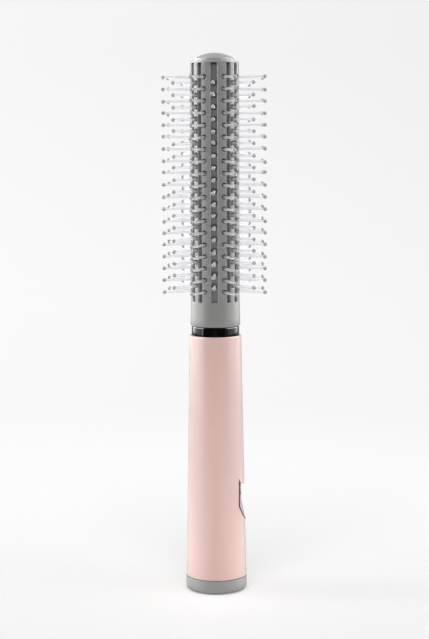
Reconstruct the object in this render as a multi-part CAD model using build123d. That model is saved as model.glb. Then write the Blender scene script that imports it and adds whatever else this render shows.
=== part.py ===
from build123d import *

import math
import os

# A cordless steam hair brush that stands on the flat end of its handle.
# Millimetres. +Z runs from the foot up to the tip of the barrel, and the origin is the
# centre of the foot pad's underside. Angles round the barrel start at -Y, the front, and
# grow towards +X. The recess with the two buttons faces +X, turned a little to the front.

# ------------------------------------------------------------------ clearances
slide_gap = 0.12  # round a part that moves or is pulled out by hand
fit_gap = 0.10  # round a fixed part that slips into another
loose_gap = 0.30  # where two parts only have to stay clear of each other

# ------------------------------------------------------------------ base cap and foot
foot_pad_margin = 2.7  # from the foot pad's rim to the base cap's
foot_pad_thickness = 1.2
foot_pad_proud = 0.3
base_cap_proud = 0.02  # how far the cap stands out past the sleeve above it
base_cap_height = 7.8
base_edge_round = 2.1
base_floor = 2.4
collar_wall = 2.0
collar_height = 2.9
seal_section = 1.4
stopper_boss_radius = 5.4
stopper_post_radius = 2.4
stopper_post_height = 3.6
stopper_flange_margin = 0.8  # past the rim of the tank's mouth
stopper_flange_thickness = 2.2
stopper_length = 3.4

# ------------------------------------------------------------------ handle sleeve
seam_gap = 0.35  # open line between the base cap and the sleeve
sleeve_radius_bottom = 16.25
sleeve_radius_top = 13.77
sleeve_wall = 2.0
sleeve_edge_round = 0.4
sleeve_shoulder = 1.9  # thickness of the inward flange at the top
bottom_bore_wall = 1.88
bottom_bore_depth = 4.1

# ------------------------------------------------------------------ recess and controls
control_turn = 2.4  # degrees that the recess is turned from +X towards the front
recess_depth = 2.58  # from the surface, at mid-length of the floor
recess_rise = 10.1  # from the board's lower edge up to the floor of the recess
recess_top_room = 5.1  # from the power button's centre up to the end of the floor
recess_ramp_height = 8.3  # from the floor down to where the ramp meets the surface
recess_lip_drop = 2.6  # how far the top wall leans out and down over the floor
recess_wall = 1.2
recess_edge_bevel = 0.35
panel_thickness = 1.2
panel_margin = 0.5
button_radius = 2.0
button_proud = 0.3
button_travel = 0.6
button_flange = 0.45
button_flange_thickness = 0.8
button_stem_radius = 1.2
button_edge_round = 0.3
steam_button_rise = 2.6  # from the floor's lower end to the lower button's centre
button_pitch = 5.6
light_pipe_radius = 0.75
light_pipe_side = 5.2

# ------------------------------------------------------------------ control board
board_face = 4.0  # outer face of the board, from the handle's axis
board_thickness = 1.2
board_half_width = 10.8
board_lift = 0.45  # from the deck to the board's lower edge
board_top_margin = 4.9  # from the power button's centre to the board's upper edge
switch_side = 5.2
switch_height = 3.4
switch_floor = 1.7
plunger_radius = 1.5
plunger_inside = 1.0
plunger_out = 1.6
led_height = 1.0
led_side = 1.6
board_screw_radius = 0.8
board_screw_head_radius = 1.5
board_screw_head = 1.0
board_screw_grip = 1.6
board_screw_inset = 1.7
board_screw_margin = 4.0
# thickness, middle from the board's centre line, rise from its lower edge, width, length
chip_places = [
    (1.0, -4.7, 4.0, 5.0, 4.4),
    (1.5, 3.6, 5.4, 5.0, 3.0),
    (2.4, 6.7, 0.9, 4.2, 4.0),
    (1.1, -7.0, 13.2, 3.0, 2.6),
]
capacitor_radius = 2.2
capacitor_height = 5.0
capacitor_side = 0.4
usb_width = 8.94
usb_thickness = 3.2
usb_length = 7.3
usb_shell = 0.35
usb_tongue_thickness = 0.7
usb_rise = 8.0  # from the board's lower edge to the middle of the socket
usb_plug_gap = 0.5
usb_tongue_margin = 1.1
usb_back_wall = 1.0

# ------------------------------------------------------------------ water tank and pump
tank_wall = 1.2
tank_height = 21.3
lid_thickness = 1.2
mouth_radius = 5.0
mouth_wall = 1.2
mouth_length = 2.7
retainer_height = 1.1
retainer_width = 1.3
hose_radius = 1.3
hose_bore = 0.6
hose_bend = 6.5
hose_turn_rise = 2.0  # the hose starts to lean inwards just above the cell
nipple_radius = 0.55
suction_x = -6.0
dip_tube_radius = 1.2
dip_tube_clear = 1.6
pump_head_length = 11.8
pump_head_width = 10.0
pump_head_height = 7.0
pump_head_round = 1.0
pump_lift = 2.65  # from the deck to the pump's head
pump_motor_radius = 3.9
pump_motor_length = 14.0
pump_motor_x = -3.6
pump_head_x = -5.2
nipple_length = 1.5
nipple_bore = 0.3

# ------------------------------------------------------------------ chassis and battery
deck_thickness = 1.6
rail_width = 3.0
rail_depth = 2.0
rail_outset = 0.4
pillar_radius = 1.2
pillar_x = -6.4
pillar_y = 9.6
pump_foot_y = 3.4
mid_plate_thickness = 1.2
cell_radius = 9.2
cell_length = 65.0
cell_shift = 1.0  # the cell sits off centre, which leaves room for the hose
tab_thickness = 0.3
battery_tab_radius = 4.0
cradle_wall = 0.85
cradle_half_angle = 70
cell_end_gap = 0.5
top_plate_thickness = 2.0
hose_lean = 2.4  # extra depth of the top plate's notch, where the hose leans inwards
post_height = 3.9
post_radius = 1.8
post_circle = 9.4
post_angle = 40
neck_screw_radius = 0.9
neck_screw_head_radius = 1.6
neck_screw_head = 1.2
neck_screw_grip = 1.6

# ------------------------------------------------------------------ neck and trim ring
neck_flange_thickness = 2.4
neck_radius = 8.8
neck_bore = 6.9
neck_mouth = 8.2
neck_web = 2.4
wire_x = -1.9
wire_y = 10.6
wire_start_y = 6.5
wire_start_drop = 4.4
wire_rise = 2.6
wire_jog = 7.5
wire_notch = 0.8
wire_bends = [1.3, 1.0, 3.0, 2.5]
ring_height = 5.1
ring_radius = 12.65
ring_round = 1.0

# ------------------------------------------------------------------ barrel
barrel_wall = 1.7
barrel_flare = 0.35  # how much the collar below the slots widens to its lower end
barrel_edge_round = 0.7
barrel_collar = 13.0  # plain band below the slots
barrel_lip = 1.0  # plain band above the slots
barrel_end_wall = 1.7
barrel_end_hole = 7.0
barrel_floor = 2.2
barrel_ledge = 2.1
barrel_ledge_height = 8.1
slot_length = 124.6
wide_slot = 3.3
narrow_slot = 1.8
slot_bevel = 0.45
cap_margin = 2.3  # from the cap's rim to the barrel's
cap_rim = 1.3
cap_dome = 3.0
cap_edge_round = 0.4

# ------------------------------------------------------------------ heat tube and heater
tube_radius = 11.1
tube_wall = 0.8
tube_hole_radius = 1.6
base_plug_flange = 1.6
base_plug_spigot = 3.6
gasket_thickness = 0.8
gasket_bore = 7.4
core_lift = 4.0  # space below the core that holds the vaporiser
fin_thickness = 0.8
stone_width = 11.6
stone_thickness = 2.2
stone_length = 20.0
stone_margin = 4.0  # least length of the core left past the stones at each end
electrode_thickness = 0.35
film_thickness = 0.2
film_margin = 0.3
rod_radius = 1.0
rod_head_radius = 1.8
rod_head = 1.4
rod_offset = 5.0
end_plug_spigot = 4.0
end_plug_head = 3.8
vaporiser_length = 5.4
vaporiser_width = 6.8
head_hose_x = -4.2
wire_radius = 0.6
tab_x = 1.2
tab_width = 3.0
tab_depth = 2.0  # how far the electrodes' tabs stand down into the base plug
hose_depth = 1.0
vaporiser_floor = 1.0
vaporiser_well = 1.0
fuse_radius = 1.6
fuse_length = 7.5
fuse_drop = 4.0  # from the fuse's top to the underside of the neck's web
sensor_radius = 0.9
sensor_length = 6.0
sensor_x = -5.3
sensor_y = 3.9

# ------------------------------------------------------------------ bristles
row_step = 24  # degrees between neighbouring rows
front_rows = 7
back_row_start = 116
back_row_pairs = 3
pin_pitch = 6.2
pin_margin_bottom = 5.6
pin_margin_top = 7.1
pin_radius = 0.65
pin_hole_radius = 1.3  # hole in a rib that a bristle stands in
slot_scallop_radius = 1.85  # wider place in the front slot round a bristle
tip_radius = 1.05
tip_reach = 27.7  # from the barrel's axis to the centre of a tip
strip_width = 2.4
strip_thickness = 1.6

# ------------------------------------------------------------------ heights that follow
sleeve_bottom = base_cap_height + seam_gap
tank_bottom = sleeve_bottom + bottom_bore_depth
tank_mouth_bottom = tank_bottom - mouth_length
tank_top = tank_bottom + lid_thickness + tank_height
deck_top = tank_top + deck_thickness
pump_head_bottom = deck_top + pump_lift
pump_head_top = pump_head_bottom + pump_head_height
pump_motor_top = pump_head_top + pump_motor_length
board_bottom = deck_top + board_lift
usb_height = board_bottom + usb_rise
recess_floor_bottom = board_bottom + recess_rise
recess_ramp_foot = recess_floor_bottom - recess_ramp_height
steam_button_height = recess_floor_bottom + steam_button_rise
power_button_height = steam_button_height + button_pitch
light_pipe_height = (steam_button_height + power_button_height) / 2
recess_floor_top = power_button_height + recess_top_room
board_top = power_button_height + board_top_margin
mid_plate_bottom = max(board_top, pump_motor_top) + loose_gap
mid_plate_top = mid_plate_bottom + mid_plate_thickness
cell_bottom = mid_plate_top + tab_thickness
cell_top = cell_bottom + cell_length
top_plate_bottom = cell_top + tab_thickness + cell_end_gap
top_plate_top = top_plate_bottom + top_plate_thickness
neck_flange_bottom = top_plate_top + post_height
neck_flange_top = neck_flange_bottom + neck_flange_thickness
sleeve_top = neck_flange_top + sleeve_shoulder
sleeve_length = sleeve_top - sleeve_bottom

collar_bottom = sleeve_top + ring_height
slots_bottom = collar_bottom + barrel_collar
slots_top = slots_bottom + slot_length
barrel_top = slots_top + barrel_lip
cap_top = barrel_top + cap_rim + cap_dome
ledge_top = collar_bottom + barrel_ledge_height + barrel_ledge
plug_seat = ledge_top + gasket_thickness + base_plug_flange
spigot_top = plug_seat + base_plug_spigot
wire_top = spigot_top - tab_depth
tube_top = barrel_top - barrel_end_wall - fit_gap
end_plug_step = tube_top - end_plug_head
core_bottom = spigot_top + core_lift
core_top = end_plug_step - end_plug_spigot
stone_count = int((core_top - core_bottom - 2 * stone_margin) / stone_length)


def sleeve_radius(height):
    """Outer radius of the tapered handle at a height."""
    share = (height - sleeve_bottom) / sleeve_length
    return sleeve_radius_bottom + share * (sleeve_radius_top - sleeve_radius_bottom)


def inner_radius(height):
    """Largest radius that a part inside the sleeve may have up to a height."""
    return sleeve_radius(height) - sleeve_wall - loose_gap


# ------------------------------------------------------------------ widths that follow
base_cap_radius = sleeve_radius_bottom + base_cap_proud
foot_pad_radius = base_cap_radius - foot_pad_margin
bottom_bore_radius = sleeve_radius_bottom - bottom_bore_wall
stopper_flange_radius = mouth_radius + mouth_wall + stopper_flange_margin
tank_radius = inner_radius(tank_top)
neck_flange_radius = inner_radius(neck_flange_top)
tube_bore = tube_radius - tube_wall
barrel_bore = tube_radius + fit_gap
barrel_radius_top = barrel_bore + barrel_wall
barrel_radius_bottom = barrel_radius_top + barrel_flare
cap_radius = barrel_radius_top - cap_margin
strip_face = math.sqrt(tube_bore**2 - (strip_width / 2) ** 2) - fit_gap
core_radius = strip_face - strip_thickness - loose_gap
stack_thickness = stone_thickness + 2 * (electrode_thickness + film_thickness)
electrode_y = stone_thickness / 2 + electrode_thickness / 2
plunger_top = board_face + switch_height + plunger_out
recess_floor = sleeve_radius((recess_floor_bottom + recess_floor_top) / 2) - recess_depth
flange_outer = recess_floor - panel_thickness - fit_gap
flange_inner = flange_outer - button_flange_thickness
riser_x = cell_shift - cell_radius - hose_radius - slide_gap


# ------------------------------------------------------------------ shapes in common
def bar(radius, bottom, top, x=0, y=0):
    """A round bar along Z."""
    return Pos(x, y, (bottom + top) / 2) * Cylinder(radius, top - bottom)


def tube(outer, inner, bottom, top, x=0, y=0):
    """A round tube along Z."""
    return bar(outer, bottom, top, x, y) - bar(inner, bottom, top, x, y)


def bar_x(radius, start, end, y, z):
    """A round bar along X."""
    return Pos((start + end) / 2, y, z) * Rot(0, 90, 0) * Cylinder(radius, end - start)


def block(x0, x1, y0, y1, z0, z1):
    """A box from its faces."""
    middle = Pos((x0 + x1) / 2, (y0 + y1) / 2, (z0 + z1) / 2)
    return middle * Box(abs(x1 - x0), abs(y1 - y0), abs(z1 - z0))


def revolved(corners):
    """A solid of revolution about Z through (radius, height) corners."""
    outline = Polyline([(radius, 0, height) for radius, height in corners], close=True)
    return revolve(make_face(outline), Axis.Z)


def rim(solid, radius, height):
    """The circular edges of a solid that have this radius and height."""
    found = []
    for edge in solid.edges().filter_by(GeomType.CIRCLE):
        if abs(edge.radius - radius) < 0.01 and abs(edge.center().Z - height) < 0.01:
            found.append(edge)
    return found


def ring_turn(angle):
    """Turns a shape that points along +X to an angle round the barrel."""
    return Rot(0, 0, angle - 90)


controls = Rot(0, 0, -control_turn)  # turns a shape made facing +X to the recess


# ------------------------------------------------------------------ base cap
def foot_pad():
    return bar(foot_pad_radius, 0, foot_pad_thickness)


def base_cap():
    collar_radius = bottom_bore_radius - loose_gap
    collar_bore = collar_radius - collar_wall
    collar_top = base_cap_height + collar_height
    body = bar(base_cap_radius, foot_pad_proud, base_cap_height)
    body = fillet(rim(body, base_cap_radius, foot_pad_proud), base_edge_round)
    body += bar(collar_radius, base_cap_height - 1, collar_top)
    body -= bar(collar_bore, base_floor, collar_top)
    body -= bar(foot_pad_radius + fit_gap, foot_pad_proud, foot_pad_thickness)
    groove_height = seal_section + fit_gap
    groove_middle = (sleeve_bottom + collar_top) / 2
    body -= tube(
        collar_radius + 1,
        seal_centre - seal_section / 2,
        groove_middle - groove_height / 2,
        groove_middle + groove_height / 2,
    )
    body += bar(stopper_boss_radius, base_floor, stopper_seat)
    return body + bar(stopper_post_radius, base_floor, stopper_seat + stopper_post_height)


seal_centre = bottom_bore_radius - slide_gap - seal_section / 2
stopper_seat = tank_mouth_bottom - slide_gap - stopper_flange_thickness


def cap_seal():
    middle = (sleeve_bottom + base_cap_height + collar_height) / 2
    return Pos(0, 0, middle) * Torus(seal_centre, seal_section / 2)


def tank_stopper():
    flange_top = stopper_seat + stopper_flange_thickness
    stopper = bar(stopper_flange_radius, stopper_seat, flange_top)
    stopper += bar(mouth_radius - slide_gap, flange_top, flange_top + stopper_length)
    post_top = stopper_seat + stopper_post_height
    return stopper - bar(stopper_post_radius, stopper_seat, post_top)


# ------------------------------------------------------------------ handle sleeve
def recess_cutter():
    """The notch in the handle's side: flat floor, leaning top wall and a long ramp."""
    outside = sleeve_radius_bottom + 1
    lip = recess_lip_drop / (sleeve_radius(recess_floor_top) - recess_floor)
    ramp_height = recess_floor_bottom - recess_ramp_foot
    ramp = ramp_height / (sleeve_radius(recess_ramp_foot) - recess_floor)
    side = [
        (recess_floor, 0, recess_floor_bottom),
        (recess_floor, 0, recess_floor_top),
        (outside, 0, recess_floor_top - lip * (outside - recess_floor)),
        (outside, 0, recess_floor_bottom - ramp * (outside - recess_floor)),
    ]
    return extrude(make_face(Polyline(side, close=True)), outside, both=True)


def recess_rim(sleeve):
    """The edges where the recess breaks through the handle's outer surface."""
    turn = math.radians(control_turn)
    found = []
    for edge in sleeve.edges():
        points = [edge @ share for share in (0.1, 0.5, 0.9)]
        gaps = [abs(math.hypot(p.X, p.Y) - sleeve_radius(p.Z)) for p in points]
        middle = points[1]
        outwards = middle.X * math.cos(turn) - middle.Y * math.sin(turn)
        if max(gaps) < 0.01 and outwards > recess_floor - 0.1:
            if recess_ramp_foot < middle.Z < recess_floor_top:
                found.append(edge)
    return found


def panel_half_width():
    middle = (recess_floor_bottom + recess_floor_top) / 2
    return math.sqrt(sleeve_radius(middle) ** 2 - recess_floor**2) - panel_margin


def usb_opening():
    """The way in for a plug, through the sleeve's back."""
    x_middle = board_face - board_thickness - usb_thickness / 2
    height = usb_width + 2 * usb_plug_gap
    width = usb_thickness + 2 * usb_plug_gap
    hole = Box(width, sleeve_radius_bottom, height)
    hole = fillet(hole.edges().filter_by(Axis.Y), width / 2 - fit_gap)
    return Pos(x_middle, usb_mouth() + sleeve_radius_bottom / 2, usb_height) * hole


def usb_mouth():
    """Where the socket ends, so that its corner stays inside the sleeve."""
    inside = sleeve_radius(usb_height) - sleeve_wall
    return math.sqrt(inside**2 - (board_face - board_thickness) ** 2) - loose_gap


def handle_sleeve():
    shoulder = neck_radius + fit_gap
    sleeve = revolved(
        [
            (bottom_bore_radius, sleeve_bottom),
            (sleeve_radius_bottom, sleeve_bottom),
            (sleeve_radius_top, sleeve_top),
            (shoulder, sleeve_top),
            (shoulder, neck_flange_top),
            (sleeve_radius(neck_flange_top) - sleeve_wall, neck_flange_top),
            (sleeve_radius(tank_bottom) - sleeve_wall, tank_bottom),
            (bottom_bore_radius, tank_bottom),
        ]
    )
    sleeve = fillet(rim(sleeve, sleeve_radius_top, sleeve_top), sleeve_edge_round)
    pad_face = recess_floor - panel_thickness - recess_wall
    pad_bottom = recess_ramp_foot - recess_wall
    pad_top = recess_floor_top + recess_wall
    inside = revolved(
        [
            (0, pad_bottom),
            (sleeve_radius(pad_bottom) - recess_wall, pad_bottom),
            (sleeve_radius(pad_top) - recess_wall, pad_top),
            (0, pad_top),
        ]
    )
    far = sleeve_radius_bottom
    sleeve += controls * block(pad_face, far, -far, far, pad_bottom, pad_top) & inside
    sleeve -= controls * recess_cutter()
    sleeve = chamfer(recess_rim(sleeve), recess_edge_bevel)
    sleeve -= controls * panel_blank(0)
    hole = button_radius + button_flange + slide_gap
    for height in (power_button_height, steam_button_height):
        sleeve -= controls * bar_x(hole, pad_face - 1, recess_floor, 0, height)
    pipe_hole = light_pipe_radius + fit_gap
    sleeve -= controls * bar_x(
        pipe_hole, pad_face - 1, recess_floor, light_pipe_side, light_pipe_height
    )
    return sleeve - controls * usb_opening()


# ------------------------------------------------------------------ controls
def panel_blank(gap):
    """The insert's plate, smaller all round by a gap."""
    half = panel_half_width() - gap
    return block(
        recess_floor - panel_thickness,
        recess_floor,
        -half,
        half,
        recess_floor_bottom + panel_margin + gap,
        recess_floor_top - panel_margin - gap,
    )


def button_panel():
    panel = panel_blank(fit_gap)
    start = recess_floor - panel_thickness
    for height in (power_button_height, steam_button_height):
        panel -= bar_x(button_radius + slide_gap, start, recess_floor, 0, height)
    panel -= bar_x(
        light_pipe_radius + fit_gap, start, recess_floor, light_pipe_side, light_pipe_height
    )
    return controls * panel


def button(height):
    face = recess_floor + button_proud
    cap = bar_x(button_radius, flange_outer, face, 0, height)
    edge = cap.edges().filter_by(GeomType.CIRCLE).sort_by(Axis.X)[-1]
    cap = fillet(edge, button_edge_round)
    cap += bar_x(button_radius + button_flange, flange_inner, flange_outer, 0, height)
    cap += bar_x(button_stem_radius, plunger_top, flange_inner, 0, height)
    return controls * cap


def plunger(height):
    start = board_face + switch_height - plunger_inside
    return controls * bar_x(plunger_radius, start, plunger_top, 0, height)


def switch_housing(height):
    top = board_face + switch_height
    half = switch_side / 2
    housing = block(board_face, top, -half, half, height - half, height + half)
    bore = plunger_radius + slide_gap
    return controls * (housing - bar_x(bore, board_face + switch_floor, top, 0, height))


def light_pipe():
    return controls * bar_x(
        light_pipe_radius,
        board_face + led_height,
        recess_floor,
        light_pipe_side,
        light_pipe_height,
    )


def status_led():
    half = led_side / 2
    return controls * block(
        board_face,
        board_face + led_height,
        light_pipe_side - half,
        light_pipe_side + half,
        light_pipe_height - half,
        light_pipe_height + half,
    )


board_screw_side = board_half_width - board_screw_inset
board_screw_places = [
    (-board_screw_side, board_bottom + board_screw_margin),
    (board_screw_side, board_top - board_screw_margin),
]


def control_board():
    inner = board_face - board_thickness
    board = block(inner, board_face, -board_half_width, board_half_width, board_bottom, board_top)
    for side, height in board_screw_places:
        board -= bar_x(board_screw_radius + fit_gap, inner, board_face, side, height)
    return controls * board


def board_screws():
    screws = []
    for side, height in board_screw_places:
        start = board_face - board_thickness - board_screw_grip
        screw = bar_x(board_screw_radius, start, board_face, side, height)
        end = board_face + board_screw_head
        screw += bar_x(board_screw_head_radius, board_face, end, side, height)
        screws.append(controls * screw)
    return Compound(children=screws)


def board_chips():
    """Controller, motor driver, converter coil and capacitor below the switches."""
    chips = []
    for thickness, side, rise, width, length in chip_places:
        chips.append(
            block(
                board_face,
                board_face + thickness,
                side - width / 2,
                side + width / 2,
                board_bottom + rise,
                board_bottom + rise + length,
            )
        )
    chips.append(
        bar_x(
            capacitor_radius,
            board_face,
            board_face + capacitor_height,
            capacitor_side,
            board_bottom + capacitor_radius + loose_gap,
        )
    )
    return Compound(children=[controls * chip for chip in chips])


def usb_socket():
    inner = board_face - board_thickness
    low = usb_height - usb_width / 2
    high = usb_height + usb_width / 2
    mouth = usb_mouth()
    shell = block(inner - usb_thickness, inner, mouth - usb_length, mouth, low, high)
    shell = fillet(shell.edges().filter_by(Axis.Y), usb_thickness / 2 - fit_gap)
    middle = inner - usb_thickness / 2
    inside = block(
        inner - usb_thickness + usb_shell,
        inner - usb_shell,
        mouth - usb_length + usb_back_wall,
        mouth,
        low + usb_shell,
        high - usb_shell,
    )
    inside = fillet(inside.edges().filter_by(Axis.Y), usb_thickness / 2 - usb_shell - fit_gap)
    tongue = block(
        middle - usb_tongue_thickness / 2,
        middle + usb_tongue_thickness / 2,
        mouth - usb_length + usb_back_wall,
        mouth - usb_back_wall,
        low + usb_tongue_margin,
        high - usb_tongue_margin,
    )
    return controls * (shell - inside + tongue)


# ------------------------------------------------------------------ chassis
def chassis():
    rail_back = board_face - board_thickness - rail_depth
    rail_front = board_face - board_thickness
    rail_out = board_half_width + rail_outset
    rail_in = rail_out - rail_width
    plate_bottom = mid_plate_bottom
    plate_top = mid_plate_top
    frame = bar(inner_radius(deck_top), tank_top, deck_top)
    frame -= bar(hose_radius + fit_gap, tank_top, deck_top, suction_x, 0)
    plate = bar(inner_radius(plate_top), plate_bottom, plate_top)
    far = sleeve_radius_bottom
    pad_face = recess_floor - panel_thickness - recess_wall - loose_gap
    plate -= controls * block(pad_face, far, -far, far, plate_bottom, plate_top)
    rails = block(rail_back, rail_front, -rail_out, -rail_in, deck_top, plate_bottom)
    rails += block(
        rail_back,
        rail_front,
        rail_in,
        rail_out,
        usb_height + usb_width / 2 + loose_gap,
        plate_bottom,
    )
    for side, height in board_screw_places:
        start = rail_front - board_screw_grip
        rails -= bar_x(board_screw_radius, start, rail_front, side, height)
    frame += controls * rails
    for side in (-1, 1):
        frame += bar(pillar_radius, deck_top, plate_bottom, pillar_x, side * pillar_y)
        foot_y = side * pump_foot_y
        frame += bar(pillar_radius, deck_top, pump_head_bottom, pump_head_x, foot_y)
    cradle_bore = cell_radius + fit_gap
    cradle = tube(cradle_bore + cradle_wall, cradle_bore, plate_top, top_plate_bottom, cell_shift)
    reach = 2 * far
    edge = math.radians(cradle_half_angle)
    corner = (cell_shift + reach * math.cos(edge), reach * math.sin(edge))
    fan = [
        (cell_shift, 0, plate_top),
        (corner[0], corner[1], plate_top),
        (reach, corner[1], plate_top),
        (reach, -corner[1], plate_top),
        (corner[0], -corner[1], plate_top),
    ]
    height = top_plate_bottom - plate_top
    cradle &= extrude(make_face(Polyline(fan, close=True)), height, dir=(0, 0, 1))
    top = bar(inner_radius(top_plate_top), top_plate_bottom, top_plate_top)
    for side in (-1, 1):
        x, y = post_place(side)
        top += bar(post_radius, top_plate_top, neck_flange_bottom, x, y)
        top -= bar(neck_screw_radius + fit_gap, top_plate_bottom, neck_flange_bottom, x, y)
        head_room = neck_screw_head + fit_gap
        head_hole = neck_screw_head_radius + fit_gap
        top -= bar(head_hole, top_plate_bottom, top_plate_bottom + head_room, x, y)
    frame += plate + cradle + top
    clear = hose_radius + slide_gap
    notch = riser_x + clear
    frame -= block(-far, notch, -clear, clear, plate_bottom, plate_top)
    lean = notch + hose_lean
    frame -= block(-far, lean, -clear, clear, top_plate_bottom, top_plate_top)
    for side in (-1, 1):
        left = wire_x - wire_notch
        right = wire_x + wire_notch
        slot_in = side * (wire_y - wire_notch)
        frame -= block(left, right, slot_in, side * far, plate_bottom, plate_top)
        slot_in = side * (wire_y - wire_notch - wire_rise)
        right += wire_notch
        frame -= block(left, right, slot_in, side * far, top_plate_bottom, top_plate_top)
    return frame


def post_place(side):
    angle = math.radians(side * post_angle)
    return post_circle * math.cos(angle), post_circle * math.sin(angle)


def neck_screws():
    screws = []
    for side in (-1, 1):
        x, y = post_place(side)
        head_top = top_plate_bottom + neck_screw_head + fit_gap
        screw = bar(neck_screw_head_radius, top_plate_bottom + fit_gap, head_top, x, y)
        screw += bar(neck_screw_radius, head_top, neck_flange_bottom + neck_screw_grip, x, y)
        screws.append(screw)
    return Compound(children=screws)


def battery_cell():
    return bar(cell_radius, cell_bottom, cell_top, cell_shift, 0)


def battery_tabs():
    low = cell_bottom - tab_thickness
    lower = bar(battery_tab_radius, low, cell_bottom, cell_shift, 0)
    upper = bar(battery_tab_radius, cell_top, cell_top + tab_thickness, cell_shift, 0)
    return Compound(children=[lower, upper])


# ------------------------------------------------------------------ water
def water_tank():
    bottom = tank_bottom + lid_thickness
    tank = bar(tank_radius, bottom, tank_top)
    tank -= bar(tank_radius - tank_wall, bottom, tank_top - tank_wall)
    stub_bottom = tank_top - tank_wall - nipple_length
    tank += bar(nipple_radius, stub_bottom, tank_top + nipple_length, suction_x, 0)
    return tank - bar(nipple_bore, stub_bottom, tank_top + nipple_length, suction_x, 0)


def tank_lid():
    top = tank_bottom + lid_thickness
    lid = bar(tank_radius, tank_bottom, top)
    lid += bar(mouth_radius + mouth_wall, tank_mouth_bottom, tank_bottom)
    return lid - bar(mouth_radius, tank_mouth_bottom, top)


def tank_retainer():
    outer = bottom_bore_radius - fit_gap / 2
    return tube(outer, outer - retainer_width, tank_bottom - retainer_height, tank_bottom)


def dip_tube():
    bottom = tank_bottom + lid_thickness + dip_tube_clear
    return tube(dip_tube_radius, hose_bore, bottom, tank_top - tank_wall, suction_x)


def suction_hose():
    return tube(hose_radius, hose_bore, tank_top, pump_head_bottom, suction_x)


def pump_head():
    half = pump_head_length / 2
    width = pump_head_width / 2
    head = block(
        pump_head_x - half, pump_head_x + half, -width, width, pump_head_bottom, pump_head_top
    )
    head = fillet(head.edges().filter_by(Axis.Z), pump_head_round)
    head += bar(nipple_radius, pump_head_bottom - nipple_length, pump_head_bottom, suction_x, 0)
    return head + bar(nipple_radius, pump_head_top, pump_head_top + nipple_length, riser_x, 0)


def pump_motor():
    return bar(pump_motor_radius, pump_head_top, pump_motor_top, pump_motor_x, 0)


def swept_tube(points, radii, outer, bore):
    """A tube along straight runs joined by arcs, one radius for each corner."""
    path = FilletPolyline(*points, radius=radii) if radii else Line(*points)
    start = Plane(path @ 0, z_dir=path % 0)
    body = sweep(start * Circle(outer), path=path)
    if bore:
        body -= sweep(start * Circle(bore), path=path)
    return body


def delivery_hose():
    jog = head_hose_x - riser_x
    corner = cell_top + hose_turn_rise
    points = [
        (riser_x, 0, pump_head_top),
        (riser_x, 0, corner),
        (head_hose_x, 0, corner + jog),
        (head_hose_x, 0, spigot_top - hose_depth),
    ]
    return swept_tube(points, [hose_bend, hose_bend], hose_radius, hose_bore)


# ------------------------------------------------------------------ neck and trim ring
def neck():
    web_bottom = ledge_top - neck_web
    body = bar(neck_flange_radius, neck_flange_bottom, neck_flange_top)
    body += bar(neck_radius, neck_flange_bottom, ledge_top)
    body -= revolved(
        [
            (0, neck_flange_bottom),
            (neck_mouth, neck_flange_bottom),
            (neck_bore, neck_flange_top),
            (neck_bore, web_bottom),
            (0, web_bottom),
        ]
    )
    body -= bar(hose_radius + fit_gap, web_bottom, ledge_top, head_hose_x, 0)
    for side in (-1, 1):
        x, y = post_place(side)
        grip_top = neck_flange_bottom + neck_screw_grip
        body -= bar(neck_screw_radius, neck_flange_bottom, grip_top, x, y)
        body -= bar(rod_radius, web_bottom, ledge_top, 0, side * rod_offset)
        body -= bar(wire_radius + fit_gap, web_bottom, ledge_top, tab_x, side * electrode_y)
    return body


def trim_ring():
    ring = tube(ring_radius, neck_radius + fit_gap, sleeve_top, collar_bottom)
    return fillet(rim(ring, ring_radius, collar_bottom), ring_round)


# ------------------------------------------------------------------ barrel
def long_row_heights():
    room = slot_length - pin_margin_bottom - pin_margin_top
    count = int(room / pin_pitch) + 1
    start = slots_bottom + pin_margin_bottom
    return [start + pin_pitch * i for i in range(count)]


def short_row_heights():
    return [height + pin_pitch / 2 for height in long_row_heights()[:-1]]


def bristle_rows():
    """(angle, heights) of every row; neighbouring rows are half a pitch apart."""
    middle = front_rows // 2
    rows = []
    for i in range(front_rows):
        step = i - middle
        heights = short_row_heights() if step % 2 == 0 else long_row_heights()
        rows.append((step * row_step, heights))
    for i in range(back_row_pairs):
        heights = long_row_heights() if i % 2 == 0 else short_row_heights()
        angle = back_row_start + i * row_step
        rows.append((angle, heights))
        rows.append((-angle, heights))
    return rows


def slot_angles():
    """The narrow slots, half way between rows; the wide slot is at 0."""
    angles = [180]
    for step in range(1, front_rows // 2):
        angles += [(step + 0.5) * row_step, -(step + 0.5) * row_step]
    for step in range(back_row_pairs - 1):
        angle = back_row_start + (step + 0.5) * row_step
        angles += [angle, -angle]
    return angles


def slot_cutter(width):
    """A slot through the barrel's wall with bevelled outer edges, facing +X."""
    half = width / 2
    inner = barrel_bore - 0.5
    edge = barrel_radius_top - slot_bevel
    outer = barrel_radius_bottom + 1
    flare = half + slot_bevel + (outer - barrel_radius_top)
    outline = [
        (inner, -half, slots_bottom),
        (edge, -half, slots_bottom),
        (outer, -flare, slots_bottom),
        (outer, flare, slots_bottom),
        (edge, half, slots_bottom),
        (inner, half, slots_bottom),
    ]
    return extrude(make_face(Polyline(outline, close=True)), slot_length, dir=(0, 0, 1))


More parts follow.
